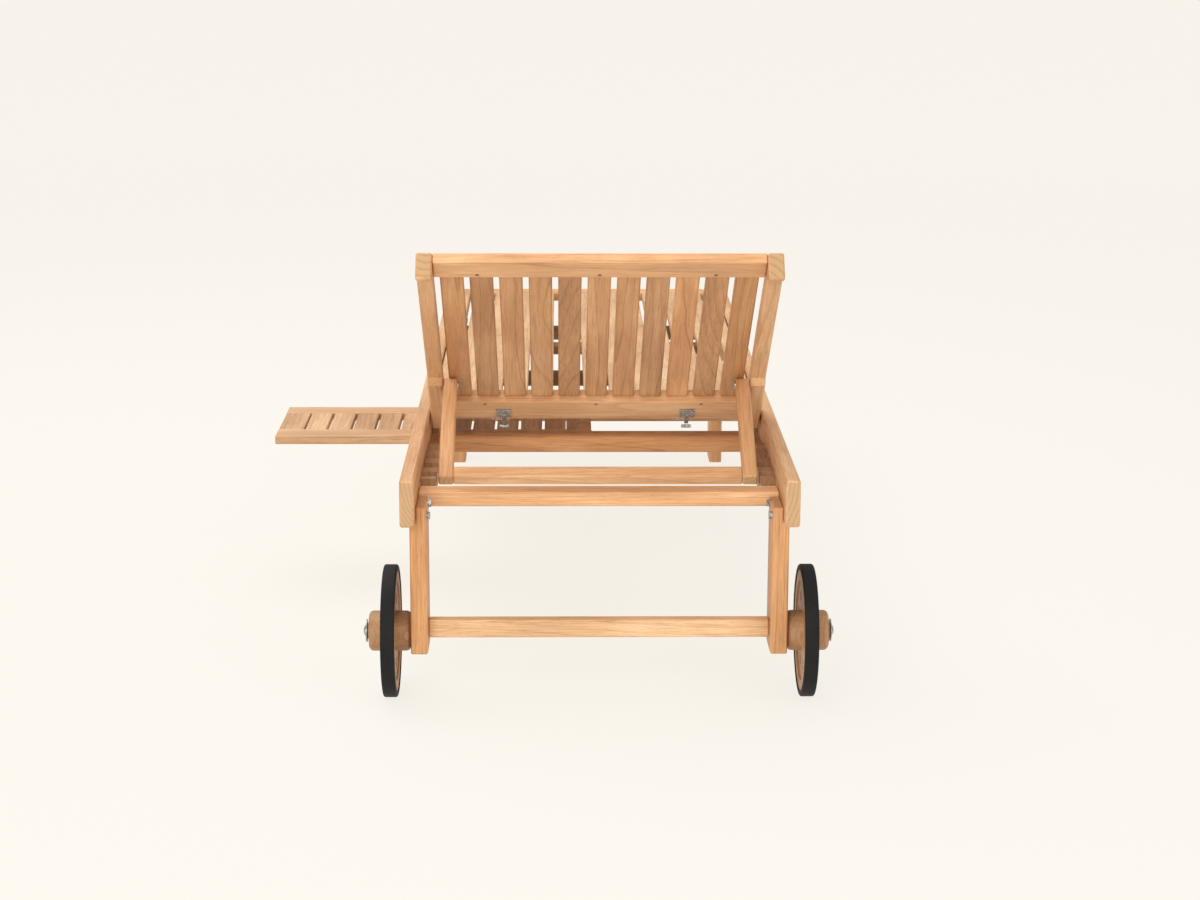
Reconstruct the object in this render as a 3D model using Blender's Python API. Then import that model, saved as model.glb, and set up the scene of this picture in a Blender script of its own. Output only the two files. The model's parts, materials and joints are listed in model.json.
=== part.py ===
"""A reclining teak sun lounger with two wheels, a propped backrest and a pull-out side tray.

Metres, +Z up. +Y runs from the head end to the foot end and +X is the sitter's right-hand side.
The lounger's own coordinates start at the head end of the side rails, on the centre plane and
the ground, and OFFSET then moves everything so that the origin is under the middle of the whole.
"""
from math import cos, pi, radians, sin

import bmesh
import bpy
from mathutils import Matrix, Vector

# ---- driving dimensions -------------------------------------------------------------------
GAP = 0.0003                     # between touching pieces
EDGE = 0.0022                    # softened edge of every board

FRAME_WIDTH = 0.650              # over the two side rails
RAIL_THICK = 0.0235
RAIL_TOP = 0.386                 # also the top of the seat and of the flat backrest
RAIL_HEIGHT = 0.078
RAIL_LENGTH = 1.830
RAIL_IN = FRAME_WIDTH / 2 - RAIL_THICK
RAIL_BOTTOM = RAIL_TOP - RAIL_HEIGHT

LEG_DEPTH = 0.080
LEG_INNER = 0.2835
LEG_OUTER = 0.3115
LEG_TOP = 0.331
HEAD_LEG_Y = 0.038
STRETCHER_Y = (0.066, 0.090)
STRETCHER_Z = (0.1015, 0.1318)
HEAD_LEG_FOOT = 0.081
FOOT_LEG_Y = RAIL_LENGTH - 0.085

WHEEL_RADIUS = 0.1106
TYRE_THICK = 0.009
TYRE_INNER_X = 0.3347
TYRE_WIDTH = 0.0230
HUB_RADIUS = 0.034
HUB_INNER_X = LEG_OUTER + 0.0010
HUB_OUTER_X = 0.3850
AXLE_RADIUS = 0.005
BORE_RADIUS = 0.00506
WASHER_RADIUS = 0.019
WASHER_X = HUB_OUTER_X + 0.0006
WASHER_THICK = 0.0022
BOLT_HEAD_RADIUS = 0.010
BOLT_HEAD_HEIGHT = 0.0048
AXLE_Y = HEAD_LEG_Y + LEG_DEPTH / 2
AXLE_TIP_X = LEG_INNER + 0.006   # the coach screw ends inside the leg
AXLE_HOLE = 0.050

HEAD_CROSS_Y = (0.1190, 0.1650)
HEAD_CROSS_Z = (0.3133, 0.3377)
CROSS_BOTTOM = RAIL_BOTTOM
CROSS_TOP = 0.337
CROSS_DEPTH = 0.024
CROSSRAIL_PLACES = (("middle_crossrail", 0.537), ("seat_crossrail", 1.134), ("foot_crossrail", 1.650))
LEDGER_THICK = 0.0127
RACK_THICK = 0.0255
RACK_Y = (0.196, 0.467)
RACK_TOP = 0.342
LEDGER_STEP_TOP = 0.333
LEDGER_STEP_Y = 0.592
BOARD_BOTTOM = RAIL_BOTTOM + 0.003
NOTCH_FIRST = 0.228
NOTCH_PITCH = 0.066
NOTCH_COUNT = 4
NOTCH_WIDTH = 0.027
NOTCH_DEPTH = 0.016
NOTCH_SLOPE = 0.006

PANEL_EDGE_X = 0.298             # outer faces of the seat's and the backrest's stiles
STILE_WIDTH = 0.026
PANEL_INNER_X = PANEL_EDGE_X - STILE_WIDTH
SLAT_COUNT = 11
SLAT_WIDTH = 0.0385
SLAT_PITCH = 0.0485
SEAT_HEAD_Y = 0.560
SEAT_FOOT_Y = 1.885
SEAT_RAIL_WIDTH = 0.053
SEAT_RAIL_THICK = 0.020
SEAT_STILE_Y = 0.586
SEAT_STILE_THICK = 0.024
SEAT_SLAT_THICK = 0.0165
SLAT_DROP = 0.001                # the slats lie this much under the panels' frames
BEARER_Y = (1.265, 1.307)
BEARER_THICK = 0.0195

HINGE_Y = 0.554
HINGE_Z = 0.3535
RECLINE = 37.2                   # degrees above flat, as it stands
FRAME_FRONT = RAIL_TOP - HINGE_Z # the backrest's sitting face over the hinge line, when flat
BACK_STILE_DEPTH = 0.030
BACK_CHEEK = 0.010               # extra depth of a stile around the prop's pivot
BACK_TOP_Y = -0.6066
BACK_TOE = 0.0190                # how far a stile's head end swells behind its back face
BACK_TOP_RAIL = (-0.6026, -0.5496)
BACK_TOP_RAIL_THICK = 0.0180
BACK_BOTTOM_RAIL = (-0.0896, -0.0256)
BACK_BOTTOM_RAIL_THICK = 0.0265
BACK_SLAT_THICK = 0.0140

PROP_PIVOT_Y = -0.1646
PROP_PIVOT_Z = 0.0050
PROP_LENGTH = 0.230
PROP_ANGLE = 30.6                # of the standing prop, degrees above level
PROP_ARM_IN = 0.2467
PROP_ARM_OUT = 0.2715
PROP_ARM_DEPTH = 0.0215
PROP_FOOT = 0.013                # arms and crossbar reach this far past the foot's centre
PROP_BAR_DEPTH = 0.021

HINGE_X = 0.1665
HINGE_WIDTH = 0.028
HINGE_SHEET = 0.0022
HINGE_LEAF = (0.060, 0.030)      # the back leaf's reach along the backrest from the hinge line
HINGE_STRAP = 0.007

TRAY_X = (-0.604, -0.004)
TRAY_Y = (0.706, 0.966)
TRAY_Z = (0.2840, 0.3005)
TRAY_RAIL = 0.060
TRAY_END = 0.050
TRAY_PITCH = 0.045
TRAY_GAP = 0.0045
TRAY_SLOTS = 12
RUNNER_LIP = 0.010               # how far a runner reaches over and under the tray's edge
RUNNER_BACK = 0.020
RUNNER_FLOOR = 0.010
RUNNER_PLAY = 0.0006

AXLE_END_X = WASHER_X + WASHER_THICK + BOLT_HEAD_HEIGHT
OFFSET = Vector((-(TRAY_X[0] + AXLE_END_X) / 2, -(AXLE_Y - WHEEL_RADIUS + SEAT_FOOT_Y) / 2, 0.0))

# ---- materials ----------------------------------------------------------------------------


def material(name, colour, roughness, metallic=0.0):
    made = bpy.data.materials.new(name)
    made.use_nodes = True
    shader = made.node_tree.nodes["Principled BSDF"]
    shader.inputs["Base Color"].default_value = (*colour, 1.0)
    shader.inputs["Roughness"].default_value = roughness
    shader.inputs["Metallic"].default_value = metallic
    return made


for old in list(bpy.data.objects):
    bpy.data.objects.remove(old, do_unlink=True)

TEAK = material("teak", (0.56, 0.34, 0.17), 0.55)
RUBBER = material("black_rubber", (0.02, 0.02, 0.02), 0.75)
STEEL = material("grey_steel", (0.55, 0.55, 0.56), 0.35, 1.0)


# ---- shapes -------------------------------------------------------------------------------
def finish(mesh, name, look, parent=None, place=(0.0, 0.0, 0.0), smooth=False):
    """Links a mesh as a named object, under a parent or at a place in lounger coordinates."""
    made = bpy.data.objects.new(name, mesh)
    bpy.context.collection.objects.link(made)
    mesh.materials.append(look)
    if parent is None:
        made.location = Vector(place) + OFFSET
    else:
        made.parent = parent
        made.location = place
    if smooth:
        mesh.shade_smooth()
        mesh.set_sharp_from_angle(angle=radians(35))
    return made


def soften(made, width=EDGE):
    """Softens a board's edges with a single flat."""
    bevel = made.modifiers.new("softened edges", "BEVEL")
    bevel.width = width
    bevel.segments = 1
    bevel.limit_method = "ANGLE"
    bevel.angle_limit = radians(40)
    return made


def board(name, low, high, parent=None, look=TEAK, edge=EDGE):
    """A rectangular board between two corners, its origin at its middle."""
    low, high = Vector(low), Vector(high)
    shape = bmesh.new()
    bmesh.ops.create_cube(shape, size=1.0)
    bmesh.ops.scale(shape, vec=high - low, verts=shape.verts)
    mesh = bpy.data.meshes.new(name)
    shape.to_mesh(mesh)
    shape.free()
    made = finish(mesh, name, look, parent, (low + high) / 2)
    return soften(made, edge) if edge else made


def side_profile(name, outline, x_low, x_high, parent=None, look=TEAK, edge=EDGE):
    """A board cut to an outline of (y, z) points, as thick as x_low to x_high."""
    shape = bmesh.new()
    ring = [shape.verts.new((x_low, y, z)) for y, z in outline]
    face = shape.faces.new(ring)
    grown = bmesh.ops.extrude_face_region(shape, geom=[face])
    moved = [item for item in grown["geom"] if isinstance(item, bmesh.types.BMVert)]
    bmesh.ops.translate(shape, vec=(x_high - x_low, 0, 0), verts=moved)
    bmesh.ops.recalc_face_normals(shape, faces=shape.faces)
    mesh = bpy.data.meshes.new(name)
    shape.to_mesh(mesh)
    shape.free()
    made = finish(mesh, name, look, parent)
    return soften(made, edge) if edge else made


def turned(name, profile, look, x_side, place, steps=48):
    """A round piece about the X axis, from a closed loop of (along, radius) points."""
    shape = bmesh.new()
    ring = [shape.verts.new((along, 0.0, radius)) for along, radius in profile]
    edges = [shape.edges.new((ring[i], ring[(i + 1) % len(ring)])) for i in range(len(ring))]
    bmesh.ops.spin(shape, geom=ring + edges, cent=(0, 0, 0), axis=(1, 0, 0), angle=2 * pi,
                   steps=steps, use_merge=True)
    bmesh.ops.remove_doubles(shape, verts=shape.verts, dist=0.00001)
    bmesh.ops.scale(shape, vec=(x_side, 1, 1), verts=shape.verts)
    bmesh.ops.recalc_face_normals(shape, faces=shape.faces)
    mesh = bpy.data.meshes.new(name)
    shape.to_mesh(mesh)
    shape.free()
    return finish(mesh, name, look, None, place, smooth=True)


def arc(centre, radius, start, end, count):
    """Points of a circular arc in a (y, z) outline, angles in degrees."""
    angles = [radians(start + (end - start) * i / count) for i in range(count + 1)]
    return [(centre[0] + radius * cos(a), centre[1] + radius * sin(a)) for a in angles]


def cutter(name, low, high, parent=None):
    """A hidden block that cuts a slot."""
    made = board(name, low, high, parent, edge=0)
    made.hide_render = True
    made.display_type = "WIRE"
    return made


def cut(made, tool):
    """Cuts one hidden block out of a board, before its edges are softened."""
    step = made.modifiers.new("cut", "BOOLEAN")
    step.operation = "DIFFERENCE"
    step.solver = "EXACT"
    step.object = tool


def mirrored(side, low, high):
    """Corners of a block given for the +X side, on either side."""
    if side > 0:
        return low, high
    return (-high[0], low[1], low[2]), (-low[0], high[1], high[2])


SIDES = (("left", -1), ("right", 1))


# ---- fixed frame --------------------------------------------------------------------------
def build_rails():
    for label, side in SIDES:
        low, high = mirrored(side, (RAIL_IN, 0, RAIL_BOTTOM), (FRAME_WIDTH / 2, RAIL_LENGTH, RAIL_TOP))
        board(f"side_rail_{label}", low, high, edge=0.003)


def build_leg(name, side, y, foot):
    """A leg whose upper part is rebated to lie on the inside of the side rail."""
    shape = bmesh.new()
    inner = RAIL_IN - GAP
    outline = [(LEG_INNER, foot), (LEG_OUTER, foot), (LEG_OUTER, RAIL_BOTTOM - GAP),
               (inner, RAIL_BOTTOM - GAP), (inner, LEG_TOP), (LEG_INNER, LEG_TOP)]
    ring = [shape.verts.new((side * x, 0, z)) for x, z in outline]
    face = shape.faces.new(ring)
    grown = bmesh.ops.extrude_face_region(shape, geom=[face])
    moved = [item for item in grown["geom"] if isinstance(item, bmesh.types.BMVert)]
    bmesh.ops.translate(shape, vec=(0, LEG_DEPTH, 0), verts=moved)
    bmesh.ops.recalc_face_normals(shape, faces=shape.faces)
    mesh = bpy.data.meshes.new(name)
    shape.to_mesh(mesh)
    shape.free()
    return finish(mesh, name, TEAK, None, (0, y, 0))


def axle_hole(name, side):
    """A hidden round cutter for the blind hole that the axle screws into."""
    shape = bmesh.new()
    bmesh.ops.create_cone(shape, segments=24, radius1=AXLE_RADIUS + GAP, radius2=AXLE_RADIUS + GAP,
                          depth=AXLE_HOLE, cap_ends=True)
    bmesh.ops.rotate(shape, matrix=Matrix.Rotation(pi / 2, 3, "Y"), verts=shape.verts)
    mesh = bpy.data.meshes.new(name)
    shape.to_mesh(mesh)
    shape.free()
    middle = side * (AXLE_TIP_X - GAP + AXLE_HOLE / 2)
    made = finish(mesh, name, TEAK, None, (middle, AXLE_Y, WHEEL_RADIUS))
    made.hide_render = True
    made.display_type = "WIRE"
    return made


def build_legs():
    for label, side in SIDES:
        leg = build_leg(f"head_leg_{label}", side, HEAD_LEG_Y, HEAD_LEG_FOOT)
        cut(leg, axle_hole(f"axle_cutter_{label}", side))
        soften(leg)
        soften(build_leg(f"foot_leg_{label}", side, FOOT_LEG_Y, 0.0))
    reach = LEG_INNER - GAP
    board("head_stretcher", (-reach, STRETCHER_Y[0], STRETCHER_Z[0]), (reach, STRETCHER_Y[1], STRETCHER_Z[1]))


def build_crossrails():
    reach = RAIL_IN - GAP
    board("head_crossrail", (-reach, HEAD_CROSS_Y[0], HEAD_CROSS_Z[0]),
          (reach, HEAD_CROSS_Y[1], HEAD_CROSS_Z[1]))
    inner = RAIL_IN - GAP - LEDGER_THICK - GAP
    for name, y in CROSSRAIL_PLACES:
        board(name, (-inner, y, CROSS_BOTTOM), (inner, y + CROSS_DEPTH, CROSS_TOP))


def rack_outline():
    """The toothed board's side view: notches at the head end, then a step up to the seat's ledger."""
    points = [(RACK_Y[0], BOARD_BOTTOM), (RACK_Y[0], RACK_TOP)]
    half, floor = NOTCH_WIDTH / 2, RACK_TOP - NOTCH_DEPTH
    for number in range(NOTCH_COUNT):
        middle = NOTCH_FIRST + number * NOTCH_PITCH
        points += [(middle - half, RACK_TOP), (middle - half, floor), (middle + half, floor)]
        points += [(middle + half + NOTCH_SLOPE, RACK_TOP)]
    points += [(RACK_Y[1], RACK_TOP), (RACK_Y[1], BOARD_BOTTOM)]
    return points


def ledger_outline():
    """The thinner length's side view, under the seat's stile as far as the foot leg."""
    top = RAIL_TOP - SEAT_STILE_THICK - GAP
    end = FOOT_LEG_Y - GAP
    start = RACK_Y[1] + GAP
    return [(start, BOARD_BOTTOM), (start, LEDGER_STEP_TOP), (LEDGER_STEP_Y, LEDGER_STEP_TOP),
            (LEDGER_STEP_Y + 0.004, top), (end, top), (end, BOARD_BOTTOM)]


def build_support_boards():
    """One board on each side rail carries both the prop's notches and the seat's stile."""
    for label, side in SIDES:
        face = RAIL_IN - GAP
        thin = sorted((side * (face - LEDGER_THICK), side * face))
        thick = sorted((side * (face - RACK_THICK), side * face))
        ledger = side_profile(f"support_board_{label}", ledger_outline(), *thin, edge=0)
        rack = side_profile(f"rack_blank_{label}", rack_outline(), *thick, edge=0)
        near, far = RACK_Y[1] - 0.010, RACK_Y[1] + 0.010
        low, high = BOARD_BOTTOM + 0.001, LEDGER_STEP_TOP - 0.002
        bridge = [(near, low), (near, high), (far, high), (far, low)]
        inset = sorted((side * (face - LEDGER_THICK + 0.001), side * (face - 0.001)))
        joint = side_profile(f"rack_joint_{label}", bridge, *inset, edge=0)
        for other in (rack, joint):
            other.hide_render = True
            other.display_type = "WIRE"
            union = ledger.modifiers.new("joined", "BOOLEAN")
            union.operation = "UNION"
            union.solver = "EXACT"
            union.object = other


# ---- seat ---------------------------------------------------------------------------------
def slat_middle(number):
    """Centre of slat 1 to 11, from the left."""
    return (number - (SLAT_COUNT + 1) / 2) * SLAT_PITCH


def build_seat():
    rail_low = RAIL_TOP - SEAT_RAIL_THICK
    inner = PANEL_INNER_X - GAP
    board("seat_head_rail", (-inner, SEAT_HEAD_Y, rail_low), (inner, SEAT_HEAD_Y + SEAT_RAIL_WIDTH, RAIL_TOP))
    board("seat_foot_rail", (-inner, SEAT_FOOT_Y - SEAT_RAIL_WIDTH, rail_low), (inner, SEAT_FOOT_Y, RAIL_TOP))
    for label, side in SIDES:
        low, high = mirrored(side, (PANEL_INNER_X, SEAT_STILE_Y, RAIL_TOP - SEAT_STILE_THICK),
                             (PANEL_EDGE_X, SEAT_FOOT_Y, RAIL_TOP))
        board(f"seat_stile_{label}", low, high)
    slat_top = RAIL_TOP - SLAT_DROP
    slat_low = slat_top - SEAT_SLAT_THICK
    start = SEAT_HEAD_Y + SEAT_RAIL_WIDTH + GAP
    end = SEAT_FOOT_Y - SEAT_RAIL_WIDTH - GAP
    for number in range(1, SLAT_COUNT + 1):
        x = slat_middle(number)
        board(f"seat_slat_{number:02d}", (x - SLAT_WIDTH / 2, start, slat_low),
              (x + SLAT_WIDTH / 2, end, slat_top))
    board("seat_bearer", (-inner, BEARER_Y[0], slat_low - GAP - BEARER_THICK),
          (inner, BEARER_Y[1], slat_low - GAP))


# ---- backrest and prop --------------------------------------------------------------------
def axis_empty(name, place, turn, parent=None):
    """An empty on a hinge line, turned about X."""
    made = bpy.data.objects.new(name, None)
    bpy.context.collection.objects.link(made)
    made.parent = parent
    made.location = Vector(place) + (OFFSET if parent is None else Vector())
    made.rotation_euler = (radians(turn), 0, 0)
    return made


def back_stile_outline():
    """Side view of a backrest stile lying flat: swollen head end, cheek around the prop's pivot."""
    front = FRAME_FRONT
    back = front - BACK_STILE_DEPTH
    cheek = back - BACK_CHEEK
    toe = back - BACK_TOE
    soft = 0.006
    outline = [(0.0015, cheek + soft), (0.0015, front - 0.004), (-0.003, front)]
    outline += arc((BACK_TOP_Y + soft, front - soft), soft, 90, 180, 4)
    outline += arc((BACK_TOP_Y + soft, toe + soft), soft, 180, 270, 4)
    outline += [(BACK_TOP_Y + 0.012, toe + 0.0015), (BACK_TOP_Y + 0.040, back)]
    outline += [(PROP_PIVOT_Y - 0.034, back), (PROP_PIVOT_Y - 0.022, cheek), (-0.006, cheek)]
    return outline


def build_backrest():
    line = axis_empty("backrest_hinge_line", (0, HINGE_Y, HINGE_Z), -RECLINE)
    inner = PANEL_INNER_X - GAP
    for label, side in SIDES:
        faces = sorted((side * PANEL_INNER_X, side * PANEL_EDGE_X))
        side_profile(f"backrest_stile_{label}", back_stile_outline(), *faces, parent=line)
    rails = (("top", BACK_TOP_RAIL, BACK_TOP_RAIL_THICK), ("bottom", BACK_BOTTOM_RAIL, BACK_BOTTOM_RAIL_THICK))
    for label, (start, end), thick in rails:
        board(f"backrest_{label}_rail", (-inner, start, FRAME_FRONT - thick), (inner, end, FRAME_FRONT),
              parent=line)
    top = FRAME_FRONT - SLAT_DROP
    for number in range(1, SLAT_COUNT + 1):
        x = slat_middle(number)
        board(f"backrest_slat_{number:02d}",
              (x - SLAT_WIDTH / 2, BACK_TOP_RAIL[1] + GAP, top - BACK_SLAT_THICK),
              (x + SLAT_WIDTH / 2, BACK_BOTTOM_RAIL[0] - GAP, top), parent=line)
    return line


def build_prop(line):
    """The prop hangs from the backrest's stiles; its foot bar stands over the first notch."""
    turn = RECLINE + PROP_ANGLE
    pivot = axis_empty("prop_hinge_line", (0, PROP_PIVOT_Y, PROP_PIVOT_Z), turn, line)
    half = PROP_ARM_DEPTH / 2
    foot = PROP_LENGTH + PROP_FOOT
    outline = [(-foot, -half), *arc((0.001, 0), half, -90, 90, 8), (-foot, half)]
    for label, side in SIDES:
        faces = sorted((side * PROP_ARM_IN, side * PROP_ARM_OUT))
        side_profile(f"prop_arm_{label}", outline, *faces, parent=pivot)
    reach = PROP_ARM_IN - GAP
    board("prop_crossbar", (-reach, -foot, -PROP_BAR_DEPTH / 2),
          (reach, PROP_FOOT - PROP_LENGTH, PROP_BAR_DEPTH / 2), parent=pivot)


def build_hinges(line):
    """Two cranked steel hinges: a leaf and strap on the backrest, a leaf under the seat."""
    half = HINGE_WIDTH / 2
    back = FRAME_FRONT - BACK_BOTTOM_RAIL_THICK - GAP
    under = RAIL_TOP - SEAT_RAIL_THICK - GAP
    for label, side in SIDES:
        x = side * HINGE_X
        leaf = board(f"hinge_back_leaf_{label}", (x - half, -HINGE_LEAF[0], back - HINGE_SHEET),
                     (x + half, -HINGE_LEAF[1], back), parent=line, look=STEEL, edge=0.0004)
        strap = board(f"hinge_strap_{label}", (x - HINGE_STRAP / 2, -HINGE_LEAF[1] - 0.0005, back - HINGE_SHEET),
                      (x + HINGE_STRAP / 2, -0.0035, back), parent=line, look=STEEL, edge=0)
        strap.hide_render = True
        strap.display_type = "WIRE"
        union = leaf.modifiers.new("joined", "BOOLEAN")
        union.operation = "UNION"
        union.solver = "EXACT"
        union.object = strap
        board(f"hinge_seat_leaf_{label}", (x - half - 0.012, SEAT_HEAD_Y + 0.004, under - HINGE_SHEET),
              (x + half - 0.004, SEAT_HEAD_Y + 0.036, under), look=STEEL, edge=0.0004)


# ---- wheels -------------------------------------------------------------------------------
def wheel_profile():
    """Half section of the wooden wheel: a disc with a hub on each side, hollow on the axle."""
    disc = WHEEL_RADIUS - TYRE_THICK - GAP
    face_in = TYRE_INNER_X + 0.002
    face_out = TYRE_INNER_X + TYRE_WIDTH - 0.002
    soft = 0.006
    return [(HUB_INNER_X, BORE_RADIUS), (HUB_INNER_X, HUB_RADIUS - soft), (HUB_INNER_X + soft, HUB_RADIUS),
            (face_in, HUB_RADIUS), (face_in, disc), (face_out, disc), (face_out, HUB_RADIUS),
            (HUB_OUTER_X - soft, HUB_RADIUS), (HUB_OUTER_X, HUB_RADIUS - soft), (HUB_OUTER_X, BORE_RADIUS)]


def build_wheels():
    place = (0, AXLE_Y, WHEEL_RADIUS)
    tyre_in = WHEEL_RADIUS - TYRE_THICK
    outer = TYRE_INNER_X + TYRE_WIDTH
    soft = 0.003
    tyre = [(TYRE_INNER_X, tyre_in), (TYRE_INNER_X, WHEEL_RADIUS - soft), (TYRE_INNER_X + soft, WHEEL_RADIUS),
            (outer - soft, WHEEL_RADIUS), (outer, WHEEL_RADIUS - soft), (outer, tyre_in)]
    head_x = WASHER_X + WASHER_THICK
    axle = [(AXLE_TIP_X, AXLE_RADIUS - 0.002), (AXLE_TIP_X + 0.002, AXLE_RADIUS), (WASHER_X, AXLE_RADIUS),
            (WASHER_X, WASHER_RADIUS), (head_x, WASHER_RADIUS), (head_x, BOLT_HEAD_RADIUS),
            (head_x + 0.6 * BOLT_HEAD_HEIGHT, 0.85 * BOLT_HEAD_RADIUS), (AXLE_END_X, 0.4 * BOLT_HEAD_RADIUS)]
    for label, side in SIDES:
        turned(f"wheel_{label}", wheel_profile(), TEAK, side, place)
        turned(f"tyre_{label}", tyre, RUBBER, side, place)
        build_axle(f"axle_{label}", axle, side, place)


def build_axle(name, profile, side, place):
    """A solid bolt turned about X, closed at both ends on the axis."""
    steps = 24
    shape = bmesh.new()
    rings = []
    for along, radius in profile:
        rings.append([shape.verts.new((side * along, radius * sin(2 * pi * i / steps),
                                       radius * cos(2 * pi * i / steps))) for i in range(steps)])
    for first, second in zip(rings, rings[1:]):
        for i in range(steps):
            j = (i + 1) % steps
            shape.faces.new((first[i], first[j], second[j], second[i]))
    shape.faces.new(rings[0])
    shape.faces.new(rings[-1])
    bmesh.ops.recalc_face_normals(shape, faces=shape.faces)
    mesh = bpy.data.meshes.new(name)
    shape.to_mesh(mesh)
    shape.free()
    return finish(mesh, name, STEEL, None, place, smooth=True)


# ---- tray ---------------------------------------------------------------------------------
def build_tray():
    """A slatted side tray, cut from the outline of its joined boards."""
    tray = board("side_tray", (TRAY_X[0], TRAY_Y[0], TRAY_Z[0]), (TRAY_X[1], TRAY_Y[1], TRAY_Z[1]), edge=0)
    slot_y = (TRAY_Y[0] + TRAY_RAIL, TRAY_Y[1] - TRAY_RAIL + 0.006)
    for number in range(TRAY_SLOTS):
        x = TRAY_X[0] + TRAY_END + number * TRAY_PITCH
        cut(tray, cutter(f"tray_slot_{number}", (x, slot_y[0], TRAY_Z[0] - 0.01),
                         (x + TRAY_GAP, slot_y[1], TRAY_Z[1] + 0.01)))
    soften(tray, 0.0015)


def build_runners():
    """Two grooved battens under the side rails carry the tray's long edges."""
    reach = FRAME_WIDTH / 2 - 0.002
    top = RAIL_BOTTOM - GAP
    groove = (TRAY_Z[0] - RUNNER_PLAY, TRAY_Z[1] + RUNNER_PLAY)
    bottom = groove[0] - RUNNER_FLOOR
    for name, edge, way in (("tray_runner_head", TRAY_Y[0], -1), ("tray_runner_foot", TRAY_Y[1], 1)):
        lip = edge - way * RUNNER_LIP
        web = edge + way * (RUNNER_PLAY + GAP)
        back = edge + way * RUNNER_BACK
        outline = [(lip, bottom), (lip, groove[0]), (web, groove[0]), (web, groove[1]), (lip, groove[1]),
                   (lip, top), (back, top), (back, bottom)]
        side_profile(name, outline, -reach, reach, edge=0)


build_rails()
build_legs()
build_crossrails()
build_support_boards()
build_seat()
hinge_line = build_backrest()
build_prop(hinge_line)
build_hinges(hinge_line)
build_wheels()
build_tray()
build_runners()
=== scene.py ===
"""Looks of a reclining teak sun lounger: boards, tyred wooden wheels, steel fittings and a slatted tray.

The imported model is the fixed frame. Its boards stay and get their own teak, cut from one ring pattern each.
The wheels, axles and tray are rebuilt with more shape, and small fittings are added. Metres, +Z up, +Y runs
from the head end to the foot end.
"""
import json
import logging
import math
import random
from dataclasses import dataclass, field
from enum import Enum

import bmesh
import bpy
from mathutils import Matrix, Vector


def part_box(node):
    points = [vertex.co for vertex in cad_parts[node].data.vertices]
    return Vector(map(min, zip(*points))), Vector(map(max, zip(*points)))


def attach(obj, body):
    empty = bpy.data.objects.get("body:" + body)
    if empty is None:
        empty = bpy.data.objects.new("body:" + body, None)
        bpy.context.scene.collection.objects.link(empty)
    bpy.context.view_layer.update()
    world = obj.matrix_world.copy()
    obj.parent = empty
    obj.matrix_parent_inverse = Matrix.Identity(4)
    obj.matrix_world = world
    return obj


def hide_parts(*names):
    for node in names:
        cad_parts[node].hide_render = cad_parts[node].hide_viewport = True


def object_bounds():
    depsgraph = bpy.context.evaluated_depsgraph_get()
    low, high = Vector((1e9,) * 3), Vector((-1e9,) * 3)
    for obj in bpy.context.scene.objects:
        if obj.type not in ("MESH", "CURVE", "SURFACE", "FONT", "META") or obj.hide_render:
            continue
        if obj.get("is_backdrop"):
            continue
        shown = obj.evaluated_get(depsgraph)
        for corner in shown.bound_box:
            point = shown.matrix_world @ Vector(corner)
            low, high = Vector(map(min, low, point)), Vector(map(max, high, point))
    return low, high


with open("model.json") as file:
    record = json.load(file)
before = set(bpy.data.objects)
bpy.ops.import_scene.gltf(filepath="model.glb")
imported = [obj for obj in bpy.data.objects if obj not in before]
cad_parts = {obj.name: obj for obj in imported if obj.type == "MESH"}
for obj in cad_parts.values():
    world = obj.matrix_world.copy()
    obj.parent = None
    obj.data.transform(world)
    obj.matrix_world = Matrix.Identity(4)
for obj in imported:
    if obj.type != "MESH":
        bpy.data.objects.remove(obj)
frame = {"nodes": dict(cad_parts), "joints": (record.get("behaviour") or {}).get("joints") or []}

LOG = logging.getLogger("lounger")
Point = tuple[float, float, float]
Colour = tuple[float, float, float]
WHITE: Colour = (1.0, 1.0, 1.0)

HINGE = frame["joints"][0]["pos_m"]
MIDDLE_X = HINGE[0]
RECLINE = math.radians(37.2)
PROP_SLOPE = math.radians(30.6)
SIDES: tuple[tuple[str, int], ...] = (("left", -1), ("right", 1))


class Lay(Enum):
    """Direction of a board's length and the normal of its broad face."""

    LONG = ((0.0, 1.0, 0.0), (0.0, 0.0, 1.0))
    LONG_UPRIGHT = ((0.0, 1.0, 0.0), (1.0, 0.0, 0.0))
    CROSS = ((1.0, 0.0, 0.0), (0.0, 0.0, 1.0))
    CROSS_UPRIGHT = ((1.0, 0.0, 0.0), (0.0, 1.0, 0.0))
    POST = ((0.0, 0.0, 1.0), (1.0, 0.0, 0.0))
    DISC = ((0.0, 0.0, 1.0), (1.0, 0.0, 0.0))
    BACK_LONG = ((0.0, -math.cos(RECLINE), math.sin(RECLINE)), (0.0, math.sin(RECLINE), math.cos(RECLINE)))
    BACK_CROSS = ((1.0, 0.0, 0.0), (0.0, math.sin(RECLINE), math.cos(RECLINE)))
    PROP_LONG = ((0.0, math.cos(PROP_SLOPE), math.sin(PROP_SLOPE)),
                 (0.0, math.sin(PROP_SLOPE), -math.cos(PROP_SLOPE)))


# ---- finishes -----------------------------------------------------------------------------
def grey(value: float) -> Colour:
    """A grey of one value."""
    return (value, value, value)


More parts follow.
